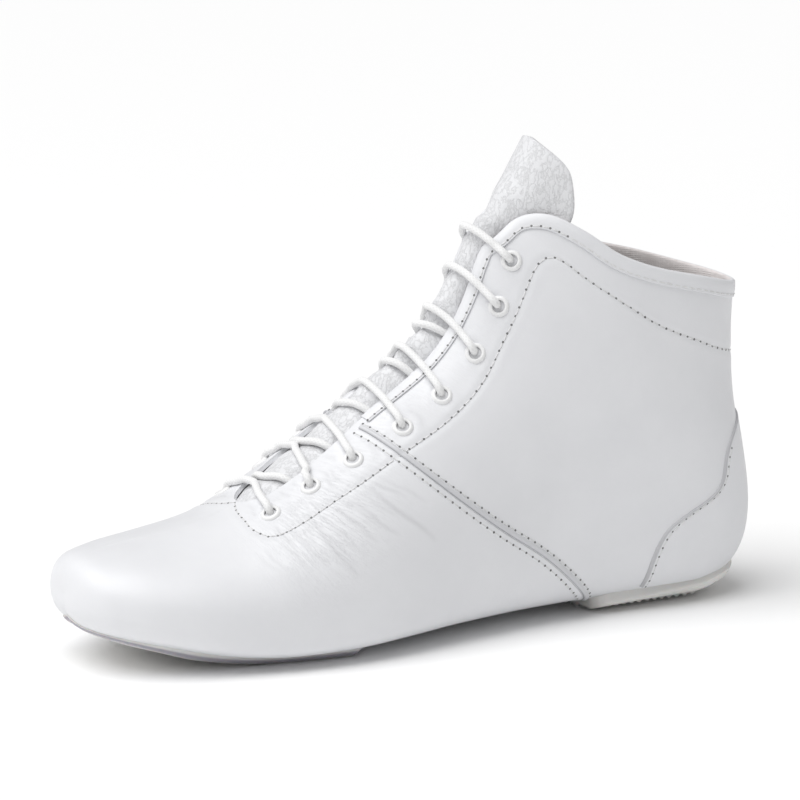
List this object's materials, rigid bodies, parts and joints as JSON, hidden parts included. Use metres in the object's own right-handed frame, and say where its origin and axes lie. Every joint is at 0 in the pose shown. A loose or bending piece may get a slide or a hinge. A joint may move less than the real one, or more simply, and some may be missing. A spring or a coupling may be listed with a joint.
{
  "type": "vaulting shoe",
  "caption": "White leather ankle-high lace-up vaulting shoe for the right foot, with a hollow lasted upper, thin rubber forefoot patch and separate rubber heel patch.",
  "frame": {"origin": "on the floor under the middle of the shoe's box", "axes": "toe towards -X, heel towards +X, medial side towards -Y, lateral side towards +Y, up +Z"},
  "size_m": [0.2606, 0.0943, 0.1684],
  "materials": {
    "white_leather": "smooth satin",
    "tongue_leather": "pebbled",
    "white_rubber": "matte",
    "insole_board": "matte",
    "white_enamel": "gloss",
    "white_cotton": "braided"
  },
  "bodies": {
    "root": {"upper": "white_leather", "forefoot_outsole": "white_rubber", "heel_outsole": "white_rubber", "insole": "insole_board", "tongue": "tongue_leather", "heel_counter": "white_leather", "collar_binding": "white_leather", "side_seam_medial": "white_leather", "side_seam_lateral": "white_leather", "eyelet_medial_1": "white_enamel", "eyelet_medial_2": "white_enamel", "eyelet_medial_3": "white_enamel", "eyelet_medial_4": "white_enamel", "eyelet_medial_5": "white_enamel", "eyelet_medial_6": "white_enamel", "eyelet_medial_7": "white_enamel", "eyelet_medial_8": "white_enamel", "eyelet_lateral_1": "white_enamel", "eyelet_lateral_2": "white_enamel", "eyelet_lateral_3": "white_enamel", "eyelet_lateral_4": "white_enamel", "eyelet_lateral_5": "white_enamel", "eyelet_lateral_6": "white_enamel", "eyelet_lateral_7": "white_enamel", "eyelet_lateral_8": "white_enamel", "lace_bar_1": "white_cotton", "lace_bar_2": "white_cotton", "lace_bar_3": "white_cotton", "lace_bar_4": "white_cotton", "lace_bar_5": "white_cotton", "lace_bar_6": "white_cotton", "lace_bar_7": "white_cotton", "lace_bar_8": "white_cotton", "lace_run_3": "white_cotton", "lace_run_4": "white_cotton", "lace_run_5": "white_cotton", "lace_run_6": "white_cotton", "lace_run_7": "white_cotton"}
  },
  "joints": []
}
